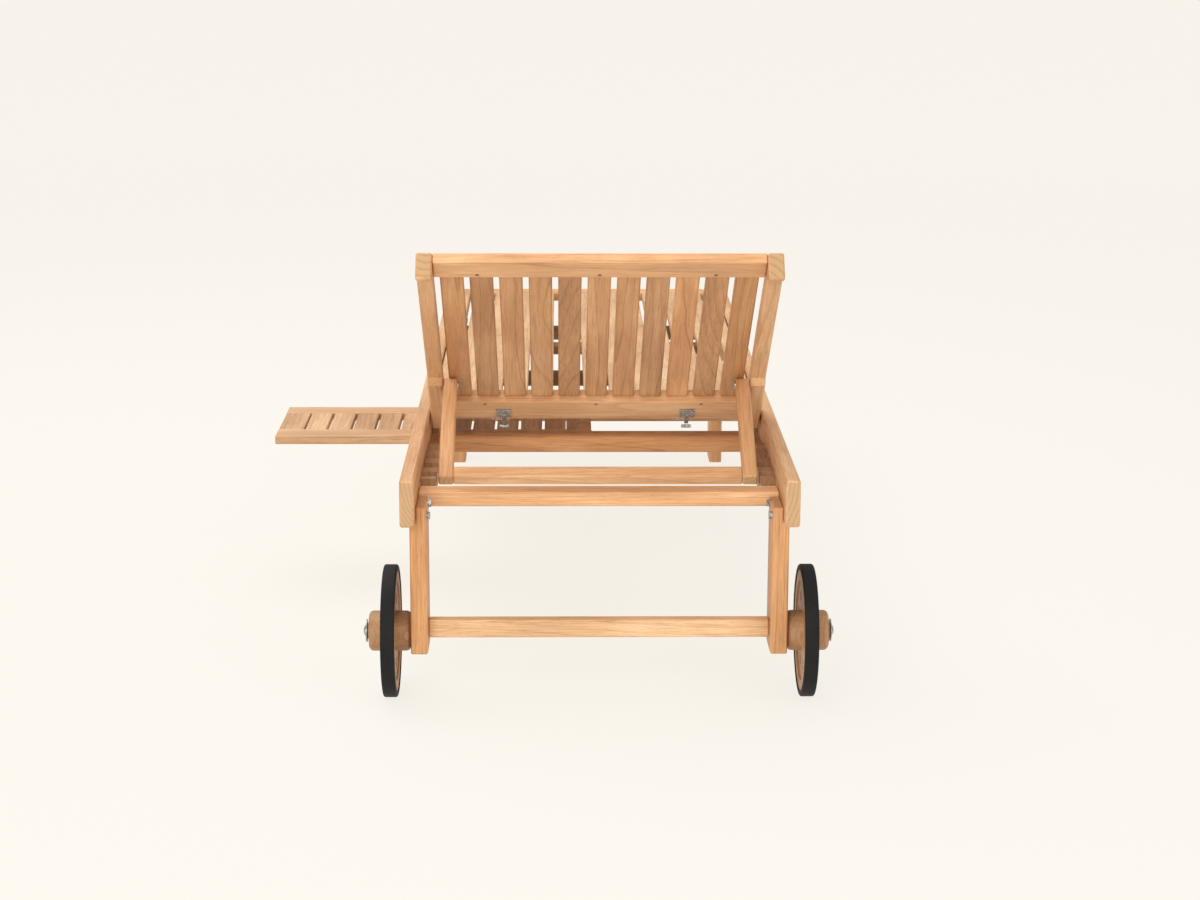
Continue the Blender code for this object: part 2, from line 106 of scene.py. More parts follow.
class Graph:
    """A material's node tree with short calls for adding and joining nodes."""

    def __init__(self, name: str) -> None:
        """Starts a material with only its shader.

        Args:
            name: The material's name.
        """
        self.material = bpy.data.materials.new(name)
        self.material.use_nodes = True
        self.tree = self.material.node_tree
        self.shader = self.tree.nodes["Principled BSDF"]

    def add(self, kind: str, values: dict | None = None, **settings: object) -> bpy.types.Node:
        """Adds a node.

        Args:
            kind: The node's type name, without its ShaderNode prefix.
            values: Input values by input name or number.
            settings: Properties of the node.

        Returns:
            The new node.
        """
        node = self.tree.nodes.new("ShaderNode" + kind)
        for key, value in settings.items():
            setattr(node, key, value)
        for key, value in (values or {}).items():
            node.inputs[key].default_value = value
        return node

    def join(self, source: bpy.types.NodeSocket, target: bpy.types.NodeSocket) -> None:
        """Links an output to an input."""
        self.tree.links.new(source, target)

    def ramp(self, source: bpy.types.NodeSocket, stops: list[tuple[float, Colour]]) -> bpy.types.NodeSocket:
        """Colours a value.

        Args:
            source: The value.
            stops: Places and colours of the ramp.

        Returns:
            The coloured output.
        """
        node = self.add("ValToRGB")
        band = node.color_ramp
        while len(band.elements) < len(stops):
            band.elements.new(0.5)
        for element, (place, colour) in zip(band.elements, stops):
            element.position = place
            element.color = (*colour, 1.0)
        self.join(source, node.inputs[0])
        return node.outputs[0]

    def mix(self, kind: str, amount: float | bpy.types.NodeSocket, first: bpy.types.NodeSocket,
            second: bpy.types.NodeSocket | Colour) -> bpy.types.NodeSocket:
        """Mixes two colours.

        Args:
            kind: The blend type.
            amount: How much of the second, a number or an output.
            first: The first colour's output.
            second: The second colour or its output.

        Returns:
            The mixed colour's output.
        """
        node = self.add("Mix", data_type="RGBA", blend_type=kind)
        if isinstance(amount, (int, float)):
            node.inputs[0].default_value = amount
        else:
            self.join(amount, node.inputs[0])
        self.join(first, node.inputs[6])
        if isinstance(second, tuple):
            node.inputs[7].default_value = (*second, 1.0)
        else:
            self.join(second, node.inputs[7])
        return node.outputs[2]

    def maths(self, kind: str, first: bpy.types.NodeSocket | float,
              second: bpy.types.NodeSocket | float = 0.0) -> bpy.types.NodeSocket:
        """Adds a Math node.

        Args:
            kind: The node's operation.
            first: The first value or output.
            second: The second value or output.

        Returns:
            The result's output.
        """
        node = self.add("Math", operation=kind)
        for number, value in enumerate((first, second)):
            if isinstance(value, (int, float)):
                node.inputs[number].default_value = value
            else:
                self.join(value, node.inputs[number])
        return node.outputs[0]

    def noise(self, place: bpy.types.NodeSocket, scale: float, detail: float = 2.0,
              roughness: float = 0.5) -> bpy.types.Node:
        """Adds a noise texture.

        Args:
            place: The output of its coordinates.
            scale: How many patches there are in a metre.
            detail: How many finer layers it has.
            roughness: How strong the finer layers are.

        Returns:
            The texture's node.
        """
        node = self.add("TexNoise", {"Scale": scale, "Detail": detail, "Roughness": roughness})
        self.join(place, node.inputs["Vector"])
        return node

    def stretched(self, place: bpy.types.NodeSocket, along: float) -> bpy.types.NodeSocket:
        """Squeezes coordinates along the grain, so that a pattern runs long.

        Args:
            place: The output of the coordinates along the grain.
            along: Their scale along it.

        Returns:
            The squeezed coordinates' output.
        """
        node = self.add("Mapping", {"Scale": (1.0, 1.0, along)})
        self.join(place, node.inputs["Vector"])
        return node.outputs[0]


@dataclass(frozen=True)
class Teak:
    """Sanded teak: one board's growth rings, streaks, pores and paler end grain.

    Every board is cut from its own imagined log, whose heart lies behind the board's broad face.
    """

    name: str
    lay: Lay
    middle: Point
    seed: int
    tone: float = 1.0
    warmth: float = 0.5
    heart: float = 0.075
    ring: float = 0.0090
    figure: float = 1.0
    slat_pitch: float = 0.0
    light: Colour = (0.83, 0.525, 0.290)
    dark: Colour = (0.645, 0.355, 0.168)
    brown: Colour = (0.520, 0.280, 0.135)
    line: Colour = (0.60, 0.47, 0.37)
    end: Colour = (0.56, 0.350, 0.178)
    lean: tuple[float, float] = (0.4, 1.6)
    ends_above: float = -1.0

    def placed(self, graph: Graph) -> bpy.types.NodeSocket:
        """Lays the log along the board.

        Args:
            graph: The material being made.

        Returns:
            Coordinates whose third axis runs along the grain and whose origin is the log's heart.
        """
        chance = random.Random(self.seed)
        length, face = (Vector(part) for part in self.lay.value)
        turn = length.rotation_difference(Vector((0.0, 0.0, 1.0))).to_matrix()
        lean = Matrix.Rotation(math.radians(chance.uniform(*self.lean)), 3, "X")
        lean = Matrix.Rotation(chance.uniform(0, math.tau), 3, "Z") @ lean
        turn = lean @ turn
        side = length.cross(face)
        offset = face * self.heart * chance.uniform(0.5, 1.4) * chance.choice((-1, 1))
        offset += side * chance.uniform(-0.5, 0.5) * self.heart + length * chance.uniform(-1.5, 1.5)
        place = turn @ (offset - Vector(self.middle))
        node = graph.add("Mapping", {"Location": place, "Rotation": turn.to_euler()})
        graph.join(graph.add("TexCoord").outputs["Object"], node.inputs["Vector"])
        return node.outputs[0]

    def rings(self, graph: Graph, place: bpy.types.NodeSocket) -> bpy.types.NodeSocket:
        """Growth rings that wander slowly along the board.

        Args:
            graph: The material being made.
            place: Coordinates along the grain.

        Returns:
            A value from 0 in early wood to 1 in late wood.
        """
        wander = graph.noise(graph.stretched(place, 0.22), 9.0, 2.5, 0.42)
        moved = graph.add("VectorMath", operation="MULTIPLY_ADD")
        moved.inputs[1].default_value = (0.034, 0.034, 0.0)
        graph.join(wander.outputs["Color"], moved.inputs[0])
        graph.join(place, moved.inputs[2])
        wave = graph.add("TexWave", {"Scale": 0.314 / self.ring, "Distortion": 0.0},
                         wave_type="RINGS", rings_direction="Z", wave_profile="SAW")
        graph.join(moved.outputs[0], wave.inputs["Vector"])
        return wave.outputs["Fac"]

    def slat_tone(self, graph: Graph, colour: bpy.types.NodeSocket) -> bpy.types.NodeSocket:
        """Gives each slat of a row its own shade, where the finish is for a row of slats.

        Args:
            graph: The material being made.
            colour: The colour so far.

        Returns:
            The shaded colour's output.
        """
        if not self.slat_pitch:
            return colour
        apart = graph.add("SeparateXYZ")
        graph.join(graph.add("TexCoord").outputs["Object"], apart.inputs[0])
        number = graph.maths("FLOOR", graph.maths("DIVIDE", apart.outputs[0], self.slat_pitch))
        shade = graph.add("TexWhiteNoise", noise_dimensions="1D")
        graph.join(number, shade.inputs["W"])
        return graph.mix("MULTIPLY", graph.maths("MULTIPLY", shade.outputs["Value"], 0.75), colour,
                         (0.70, 0.62, 0.55))

    def end_share(self, graph: Graph) -> bpy.types.NodeSocket:
        """How much a point of the surface is sawn end, from its own normal and height.

        Args:
            graph: The material being made.

        Returns:
            The share's output.
        """
        apart = graph.add("SeparateXYZ")
        graph.join(graph.add("TexCoord").outputs["Object"], apart.inputs[0])
        high = graph.maths("MULTIPLY", graph.maths("GREATER_THAN", apart.outputs[2], self.ends_above), 0.85)
        facing = graph.add("VectorMath", operation="DOT_PRODUCT")
        facing.inputs[1].default_value = self.lay.value[0]
        graph.join(graph.add("TexCoord").outputs["Normal"], facing.inputs[0])
        steep = graph.maths("ABSOLUTE", facing.outputs["Value"])
        return graph.maths("MULTIPLY", graph.maths("GREATER_THAN", steep, 0.85), high)

    def heartwood(self, graph: Graph, place: bpy.types.NodeSocket,
                  ring: bpy.types.NodeSocket) -> bpy.types.NodeSocket:
        """Colours the broad bands, soft patches and thin late-wood lines.

        Args:
            graph: The material being made.
            place: Coordinates along the grain.
            ring: The growth rings.

        Returns:
            The colour's output.
        """
        late = graph.ramp(ring, [(0.0, grey(0.0)), (0.50, grey(0.10)), (0.86, grey(0.45)), (0.95, WHITE),
                                 (1.0, grey(0.0))])
        band = graph.noise(graph.stretched(place, 0.035), 75.0, 3.0, 0.55).outputs["Fac"]
        patch = graph.noise(graph.stretched(place, 0.30), 12.0, 3.0, 0.55).outputs["Fac"]
        share = graph.maths("ADD", graph.maths("MULTIPLY", late, 0.20), graph.maths("MULTIPLY", patch, 1.45))
        streak = graph.maths("MULTIPLY", graph.maths("SUBTRACT", band, 0.5), 0.75 * self.figure)
        share = graph.maths("ADD", share, graph.maths("SUBTRACT", streak, 0.3375))
        blend = graph.add("Clamp")
        graph.join(share, blend.inputs[0])
        colour = graph.ramp(blend.outputs[0], [(0.05, self.light), (0.50, self.dark), (0.95, self.brown)])
        strength = graph.maths("MULTIPLY", graph.ramp(patch, [(0.35, grey(0.30)), (0.65, WHITE)]),
                               graph.maths("MULTIPLY", graph.maths("POWER", late, 3.0), 0.75 * self.figure))
        return graph.mix("MULTIPLY", strength, colour, self.line)

    def sawn_end(self, graph: Graph, ring: bpy.types.NodeSocket) -> bpy.types.NodeSocket:
        """Colours the sawn ends, where the rings show as darker lines."""
        late_end = (self.end[0] * 0.75, self.end[1] * 0.71, self.end[2] * 0.68)
        return graph.ramp(ring, [(0.0, self.end), (0.55, self.end), (0.93, late_end), (1.0, self.end)])

    def surface(self, graph: Graph, fibre: bpy.types.NodeSocket, hole: bpy.types.NodeSocket) -> None:
        """Sets how the sanded surface shines and how its fibres and pores stand out.

        Args:
            graph: The material being made.
            fibre: The fine fibres.
            hole: The open pores.
        """
        rough = graph.add("MapRange", {"To Min": 0.42, "To Max": 0.58})
        graph.join(fibre, rough.inputs["Value"])
        graph.join(rough.outputs["Result"], graph.shader.inputs["Roughness"])
        graph.shader.inputs["Specular IOR Level"].default_value = 0.45
        bump = graph.add("Bump", {"Strength": 0.35, "Distance": 0.0005})
        graph.join(graph.maths("SUBTRACT", fibre, graph.maths("MULTIPLY", hole, 0.6)), bump.inputs["Height"])
        graph.join(bump.outputs[0], graph.shader.inputs["Normal"])

    def made(self) -> bpy.types.Material:
        """Makes the finish.

        Returns:
            The finish as a material.
        """
        graph = Graph(self.name)
        place = self.placed(graph)
        ring = self.rings(graph, place)
        colour = self.heartwood(graph, place, ring)
        fibre = graph.noise(graph.stretched(place, 0.020), 560.0, 3.0, 0.62).outputs["Fac"]
        thread = graph.ramp(fibre, [(0.34, (0.80, 0.75, 0.70)), (0.52, WHITE), (0.72, (1.08, 1.08, 1.07))])
        colour = graph.mix("MULTIPLY", 1.0, colour, thread)
        pore = graph.noise(graph.stretched(place, 0.045), 1050.0, 1.0, 0.4).outputs["Fac"]
        hole = graph.ramp(pore, [(0.62, grey(0.0)), (0.70, WHITE)])
        colour = graph.mix("MULTIPLY", graph.maths("MULTIPLY", hole, 0.34), colour, (0.50, 0.38, 0.29))
        colour = graph.mix("MIX", self.end_share(graph), colour, self.sawn_end(graph, ring))
        colour = self.slat_tone(graph, colour)
        green, blue = 1.01 - 0.055 * self.warmth, 1.02 - 0.12 * self.warmth
        tint = (self.tone, self.tone * green, self.tone * blue)
        colour = graph.mix("MULTIPLY", 1.0, colour, tint)
        graph.join(colour, graph.shader.inputs["Base Color"])
        self.surface(graph, fibre, hole)
        return graph.material


@dataclass(frozen=True)
class Rubber:
    """Matt black tyre rubber with a dusty grain and faint scuffs."""

    name: str = "tyre rubber"
    colour: Colour = (0.0045, 0.0050, 0.0055)
    dust: Colour = (0.012, 0.012, 0.012)

    def made(self) -> bpy.types.Material:
        """Makes the finish.

        Returns:
            The finish as a material.
        """
        graph = Graph(self.name)
        place = graph.add("TexCoord").outputs["Object"]
        cloud = graph.noise(place, 35.0, 5.0, 0.65).outputs["Fac"]
        dusty = graph.ramp(cloud, [(0.38, self.colour), (0.70, self.dust)])
        graph.join(dusty, graph.shader.inputs["Base Color"])
        grain = graph.noise(place, 1400.0, 2.0, 0.6).outputs["Fac"]
        rough = graph.add("MapRange", {"To Min": 0.58, "To Max": 0.82})
        graph.join(cloud, rough.inputs["Value"])
        graph.join(rough.outputs["Result"], graph.shader.inputs["Roughness"])
        graph.shader.inputs["Specular IOR Level"].default_value = 0.25
        bump = graph.add("Bump", {"Strength": 0.3, "Distance": 0.0003})
        graph.join(grain, bump.inputs["Height"])
        graph.join(bump.outputs[0], graph.shader.inputs["Normal"])
        return graph.material


@dataclass(frozen=True)
class Steel:
    """Dull zinc-plated steel with mottled plating and fine rubbed marks."""

    name: str = "zinc steel"
    bright: Colour = (0.66, 0.66, 0.65)
    dull: Colour = (0.17, 0.17, 0.165)

    def made(self) -> bpy.types.Material:
        """Makes the finish.

        Returns:
            The finish as a material.
        """
        graph = Graph(self.name)
        place = graph.add("TexCoord").outputs["Object"]
        mottle = graph.noise(place, 420.0, 4.0, 0.7).outputs["Fac"]
        plating = graph.ramp(mottle, [(0.40, self.dull), (0.60, self.bright)])
        graph.join(plating, graph.shader.inputs["Base Color"])
        graph.shader.inputs["Metallic"].default_value = 1.0
        rough = graph.add("MapRange", {"To Min": 0.26, "To Max": 0.52})
        graph.join(mottle, rough.inputs["Value"])
        graph.join(rough.outputs["Result"], graph.shader.inputs["Roughness"])
        scratch = graph.noise(graph.stretched(place, 0.06), 900.0, 2.0, 0.5).outputs["Fac"]
        bump = graph.add("Bump", {"Strength": 0.15, "Distance": 0.0002})
        graph.join(scratch, bump.inputs["Height"])
        graph.join(bump.outputs[0], graph.shader.inputs["Normal"])
        return graph.material


# ---- making meshes ------------------------------------------------------------------------
def add_piece(name: str, mesh: bpy.types.Mesh, look: bpy.types.Material, body: str,
              sharp: float = 35.0) -> bpy.types.Object:
    """Puts a mesh in the scene as a finished piece.

    Args:
        name: The piece's name.
        mesh: Its mesh, placed in the model's own coordinates.
        look: Its finish.
        body: The moving body it rides on.
        sharp: Edges steeper than this many degrees stay sharp.

    Returns:
        The new object.
    """
    made = bpy.data.objects.new(name, mesh)
    bpy.context.scene.collection.objects.link(made)
    mesh.materials.clear()
    mesh.materials.append(look)
    mesh.shade_smooth()
    mesh.set_sharp_from_angle(angle=math.radians(sharp))
    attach(made, body)
    LOG.info("%s on %s: %d faces", name, body, len(mesh.polygons))
    return made


def mesh_from(shape: bmesh.types.BMesh, name: str) -> bpy.types.Mesh:
    """Closes a shape's doubles, turns its faces outwards and makes it a mesh.

    Args:
        shape: The shape, which is used up.
        name: The mesh's name.

    Returns:
        The mesh.
    """
    bmesh.ops.remove_doubles(shape, verts=shape.verts, dist=0.00001)
    bmesh.ops.recalc_face_normals(shape, faces=shape.faces)
    mesh = bpy.data.meshes.new(name)
    shape.to_mesh(mesh)
    shape.free()
    return mesh


def rounded_board(name: str, low: Point, high: Point, edge: float = 0.002, steps: int = 2) -> bpy.types.Mesh:
    """A board with rounded edges.

    Args:
        name: The mesh's name.
        low: Its lowest corner.
        high: Its highest corner.
        edge: Radius of the edges.
        steps: Segments of the rounding.

    Returns:
        The mesh.
    """
    shape = bmesh.new()
    bmesh.ops.create_cube(shape, size=1.0)
    size = Vector(high) - Vector(low)
    bmesh.ops.scale(shape, vec=size, verts=shape.verts)
    bmesh.ops.translate(shape, vec=(Vector(high) + Vector(low)) / 2, verts=shape.verts)
    bmesh.ops.bevel(shape, geom=list(shape.edges), offset=edge, segments=steps, profile=0.5, affect="EDGES")
    return mesh_from(shape, name)


def lathe(name: str, profile: list[tuple[float, float]], side: int, centre: Point,
          steps: int = 96) -> bpy.types.Mesh:
    """Turns a closed loop of (along, radius) points about the X axis.

    Args:
        name: The mesh's name.
        profile: The section's points; radius 0 closes the piece on its axis.
        side: 1 or -1, the way that along counts.
        centre: A point of the axis.
        steps: Sides of the turned piece.

    Returns:
        The mesh.
    """
    shape = bmesh.new()
    ring = [shape.verts.new((side * along, 0.0, radius)) for along, radius in profile]
    edges = [shape.edges.new((ring[i], ring[(i + 1) % len(ring)])) for i in range(len(ring))]
    bmesh.ops.spin(shape, geom=ring + edges, cent=(0, 0, 0), axis=(1, 0, 0), angle=math.tau, steps=steps,
                   use_merge=True)
    bmesh.ops.translate(shape, vec=centre, verts=shape.verts)
    return mesh_from(shape, name)


def corner(along: float, radius: float, size: float, steps: int = 5) -> list[tuple[float, float]]:
    """Points of a rounded corner at the far end of a turned section, from its side to its rim.

    Args:
        along: Its arc's centre along the axis.
        radius: Its arc's centre from the axis.
        size: The arc's radius.
        steps: Segments of the arc.

    Returns:
        The points.
    """
    angles = [math.radians(90.0 * i / steps) for i in range(steps + 1)]
    return [(along + size * math.cos(angle), radius + size * math.sin(angle)) for angle in angles]


def near_corner(along: float, radius: float, size: float, steps: int = 5) -> list[tuple[float, float]]:
    """The same corner at the near end of a turned section."""
    return [(2 * along - place, height) for place, height in corner(along, radius, size, steps)]


class Socket(Enum):
    """Kinds of inputs that a Geometry Nodes tree here can have."""

    LENGTH = "NodeSocketFloat"
    COUNT = "NodeSocketInt"
    TURN = "NodeSocketRotation"
    PLACE = "NodeSocketVector"
    LOOK = "NodeSocketMaterial"


class Rule:
    """A Geometry Nodes tree under construction, with named inputs for its sizes."""

    def __init__(self, name: str) -> None:
        """Starts a tree with a geometry input and output.

        Args:
            name: The tree's name.
        """
        self.tree = bpy.data.node_groups.new(name, "GeometryNodeTree")
        self.tree.interface.new_socket("Geometry", in_out="INPUT", socket_type="NodeSocketGeometry")
        self.tree.interface.new_socket("Geometry", in_out="OUTPUT", socket_type="NodeSocketGeometry")
        self.start = self.tree.nodes.new("NodeGroupInput")
        self.stop = self.tree.nodes.new("NodeGroupOutput")
        self.names: dict[str, str] = {}

    def input(self, name: str, kind: Socket) -> None:
        """Adds a named input."""
        made = self.tree.interface.new_socket(name, in_out="INPUT", socket_type=kind.value)
        self.names[name] = made.identifier

    def given(self, name: str) -> bpy.types.NodeSocket:
        """The output of the tree's start that carries an input."""
        return next(out for out in self.start.outputs if out.identifier == self.names[name])

    def add(self, kind: str, links: dict[str, bpy.types.NodeSocket] | None = None,
            **settings: object) -> bpy.types.Node:
        """Adds a node.

        Args:
            kind: The node's full type name.
            links: Outputs to link, by the input's name.
            settings: Properties of the node.

        Returns:
            The new node.
        """
        node = self.tree.nodes.new(kind)
        for key, value in settings.items():
            setattr(node, key, value)
        for key, source in (links or {}).items():
            self.tree.links.new(source, node.inputs[key])
        return node

    def end(self, instances: bpy.types.NodeSocket) -> None:
        """Realizes the instances and gives them the look that the tree was given.

        Args:
            instances: The output that carries the instances.
        """
        real = self.add("GeometryNodeRealizeInstances", {"Geometry": instances}).outputs[0]
        dressed = self.add("GeometryNodeSetMaterial", {"Geometry": real, "Material": self.given("Look")})
        self.tree.links.new(dressed.outputs[0], self.stop.inputs[0])

    def run(self, name: str, points: list[Point], values: dict[str, object]) -> bpy.types.Mesh:
        """Runs the tree over a set of points.

        Args:
            name: Name of the plain mesh that comes out.
            points: Where the tree's pieces go.
            values: The tree's inputs by name.

        Returns:
            A plain mesh.
        """
        seeds = bpy.data.meshes.new(name + " points")
        seeds.from_pydata(points, [], [])
        holder = bpy.data.objects.new(name + " rule", seeds)
        bpy.context.scene.collection.objects.link(holder)
        modifier = holder.modifiers.new("rule", "NODES")
        modifier.node_group = self.tree
        for key, value in values.items():
            modifier[self.names[key]] = value
        view = bpy.context.evaluated_depsgraph_get()
        mesh = bpy.data.meshes.new_from_object(holder.evaluated_get(view), depsgraph=view)
        mesh.name = name
        holder.modifiers.remove(modifier)
        bpy.data.objects.remove(holder, do_unlink=True)
        return mesh


@dataclass(frozen=True)
class Fastener:
    """Sizes of one kind of bolt head, nut, screw or plug."""

    head_radius: float
    head_height: float
    dome_height: float
    washer_radius: float
    washer_height: float
    sides: int = 20

    def inputs(self, turn: Point, look: bpy.types.Material) -> dict[str, object]:
        """Inputs of the fastener rule.

        Args:
            turn: Rotation that lays the fastener's axis on its hole's.
            look: Its finish.

        Returns:
            The inputs by name.
        """
        return {"Head radius": self.head_radius, "Head height": self.head_height,
                "Dome height": self.dome_height, "Washer radius": self.washer_radius,
                "Washer height": self.washer_height, "Sides": self.sides, "Turn": turn, "Look": look}


def fastener_rule() -> Rule:
    """The rule for round or hexagonal fasteners: a washer under a domed or flat head, one at every point.

    Returns:
        The finished rule.
    """
    rule = Rule("fasteners")
    for name in ("Head radius", "Head height", "Dome height", "Washer radius", "Washer height"):
        rule.input(name, Socket.LENGTH)
    rule.input("Sides", Socket.COUNT)
    rule.input("Turn", Socket.TURN)
    rule.input("Look", Socket.LOOK)
    head = rule.add("GeometryNodeMeshCylinder", {
        "Vertices": rule.given("Sides"), "Radius": rule.given("Head radius"),
        "Depth": rule.given("Head height")})
    washer = rule.add("GeometryNodeMeshCylinder", {
        "Radius": rule.given("Washer radius"), "Depth": rule.given("Washer height")})
    dome = rule.add("GeometryNodeMeshUVSphere", {"Radius": rule.given("Dome height")})
    dome.inputs["Segments"].default_value = 20
    dome.inputs["Rings"].default_value = 8
    widen = rule.add("ShaderNodeMath", operation="DIVIDE")
    rule.tree.links.new(rule.given("Head radius"), widen.inputs[0])
    rule.tree.links.new(rule.given("Dome height"), widen.inputs[1])
    wide = rule.add("ShaderNodeMath", operation="MULTIPLY")
    wide.inputs[1].default_value = 0.93
    rule.tree.links.new(widen.outputs[0], wide.inputs[0])
    size = rule.add("ShaderNodeCombineXYZ", {"X": wide.outputs[0], "Y": wide.outputs[0]})
    size.inputs["Z"].default_value = 1.0
    lift = rule.add("ShaderNodeMath", operation="MULTIPLY")
    lift.inputs[1].default_value = 0.5
    rule.tree.links.new(rule.given("Head height"), lift.inputs[0])
    up = rule.add("ShaderNodeCombineXYZ", {"Z": lift.outputs[0]})
    over = rule.add("ShaderNodeCombineXYZ", {"Z": rule.given("Head height")})
    lifted = rule.add("GeometryNodeTransform", {
        "Geometry": head.outputs["Mesh"], "Translation": up.outputs[0]})
    domed = rule.add("GeometryNodeTransform", {
        "Geometry": dome.outputs["Mesh"], "Translation": over.outputs[0], "Scale": size.outputs[0]})
    joined = rule.add("GeometryNodeJoinGeometry")
    for part in (washer.outputs["Mesh"], lifted.outputs[0], domed.outputs[0]):
        rule.tree.links.new(part, joined.inputs[0])
    spread = rule.add("GeometryNodeInstanceOnPoints", {
        "Points": rule.start.outputs[0], "Instance": joined.outputs[0], "Rotation": rule.given("Turn")})
    spin = rule.add("FunctionNodeRandomValue", data_type="FLOAT")
    spin.inputs["Max"].default_value = math.tau
    spin.inputs["Seed"].default_value = 7
    axis = rule.add("ShaderNodeCombineXYZ", {"Z": spin.outputs["Value"]})
    turned = rule.add("GeometryNodeRotateInstances", {
        "Instances": spread.outputs[0], "Rotation": axis.outputs[0]})
    turned.inputs["Local Space"].default_value = True
    rule.end(turned.outputs[0])
    return rule


def slat_rule() -> Rule:
    """The rule for a row of equal slats, one at every point.

    Returns:
        The finished rule.
    """
    rule = Rule("slats")
    rule.input("Size", Socket.PLACE)
    rule.input("Look", Socket.LOOK)
    slat = rule.add("GeometryNodeMeshCube", {"Size": rule.given("Size")})
    row = rule.add("GeometryNodeInstanceOnPoints", {
        "Points": rule.start.outputs[0], "Instance": slat.outputs["Mesh"]})
    rule.end(row.outputs[0])
    return rule


# ---- sub-assemblies -----------------------------------------------------------------------
@dataclass(frozen=True)
class Cut:
    """How one kind of board is cut: its lay, the depth of its colour and how warm it is (for some kinds, with
    painted shade and painted light in them).
    """

    lay: Lay
    tone: float = 1.0
    warmth: float = 0.5


@dataclass
class Boards:
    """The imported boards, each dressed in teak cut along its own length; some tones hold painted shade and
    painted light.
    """

    # backrest slats: the spread of these tones is each slat's own tone; their low level and the added slat
    # warmth are painted shade, the darker, warmer shade on the backrest's back
    slat_tones_with_painted_shade: tuple[float, ...] = (0.80, 0.68, 0.82, 0.77, 0.77, 0.85, 0.84, 0.71, 0.97, 0.79, 0.81)
    slat_painted_shade_warmth: float = 1.9
    slat_figure: float = 1.25
    plain_figure: float = 0.6
    lean: tuple[float, float] = (0.4, 1.6)
    figured: dict[int, tuple[float, float]] = field(
        default_factory=lambda: {5: (0.055, 3.4), 10: (0.030, 4.2)})
    stile_ends_above: float = 0.55
    cuts: dict[str, Cut] = field(default_factory=lambda: {
        "side_rail": Cut(Lay.LONG_UPRIGHT, 0.98, 0.5),
        "seat_stile": Cut(Lay.LONG_UPRIGHT, 0.95, -0.8),
        "seat_slat": Cut(Lay.LONG, 0.95, -1.3),
        "support_board": Cut(Lay.LONG_UPRIGHT, 0.62, 1.6),
        # seat bearer: its low tone and high warmth are painted shade, the dark shade under the seat
        "seat_bearer": Cut(Lay.CROSS, 0.42, 1.5),
        "seat_head_rail": Cut(Lay.CROSS),
        "seat_foot_rail": Cut(Lay.CROSS),
        "head_leg": Cut(Lay.POST, 0.95, 2.3),
        "foot_leg": Cut(Lay.POST, 0.95, 1.8),
        # head stretcher and head crossrail: their tones above 1, and the stretcher's low warmth, are painted
        # light, the frontal light on the faces towards the camera
        "head_stretcher": Cut(Lay.CROSS_UPRIGHT, 1.17, -1.7),
        "head_crossrail": Cut(Lay.CROSS, 1.11, 0.0),
        # middle, seat and foot crossrails: their low tones and high warmth are painted shade, the dark warm
        # shade under the seat
        "middle_crossrail": Cut(Lay.CROSS_UPRIGHT, 0.73, 3.2),
        "seat_crossrail": Cut(Lay.CROSS_UPRIGHT, 0.27, 1.5),
        "foot_crossrail": Cut(Lay.CROSS_UPRIGHT, 0.27, 1.5),
        "tray_runner": Cut(Lay.CROSS_UPRIGHT, 0.75, 1.0),
        "backrest_stile": Cut(Lay.BACK_LONG, 0.97, 0.6),
        "backrest_slat": Cut(Lay.BACK_LONG),
        "backrest_top": Cut(Lay.BACK_CROSS, 1.08, 0.2),
        "backrest_bottom": Cut(Lay.BACK_CROSS, 0.98, 0.4),
        "prop_arm": Cut(Lay.PROP_LONG, 0.99, 0.5),
        # prop crossbar: its tone above 1 is painted light on its front face
        "prop_crossbar": Cut(Lay.CROSS_UPRIGHT, 1.11, -0.4),
    })

    def dress(self) -> None:
        """Gives every packed teak board its own finish."""
        for number, (name, node) in enumerate(sorted(frame["nodes"].items())):
            key = next((part for part in self.cuts if name.startswith(part)), None)
            if key is None:
                continue
            node.data.materials.clear()
            node.data.materials.append(self.finish(number, name, key).made())
            LOG.info("%s dressed", name)

    def finish(self, number: int, name: str, key: str) -> Teak:
        """Picks the log that one board is cut from.

        Args:
            number: The board's number, which seeds its chances.
            name: The board's node.
            key: Its kind, one of the cuts.

        Returns:
            The board's own finish.
        """
        cut = self.cuts[key]
        low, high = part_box(name)
        chance = random.Random(number * 31 + 5)
        tone = cut.tone * chance.uniform(0.96, 1.03)
        warmth = cut.warmth + chance.uniform(-0.3, 0.3)
        heart, ring = chance.uniform(0.035, 0.12), chance.uniform(0.0065, 0.0120)
        lean, figure = self.lean, self.plain_figure
        if key == "backrest_slat":
            slat = int(name[-2:])
            # each backrest slat takes its own tone with painted shade, and extra warmth that paints warm
            # shade
            tone, warmth, figure = self.slat_tones_with_painted_shade[slat - 1], warmth + self.slat_painted_shade_warmth, self.slat_figure
            if slat in self.figured:
                heart, steepest = self.figured[slat]
                lean = (steepest - 0.3, steepest)
        return Teak(name=f"teak {name}", lay=cut.lay, middle=tuple((low + high) / 2), seed=number * 17 + 3,
                    tone=tone, warmth=warmth, heart=heart, ring=ring, lean=lean, figure=figure,
                    ends_above=self.stile_ends_above if key == "backrest_stile" else -1.0)


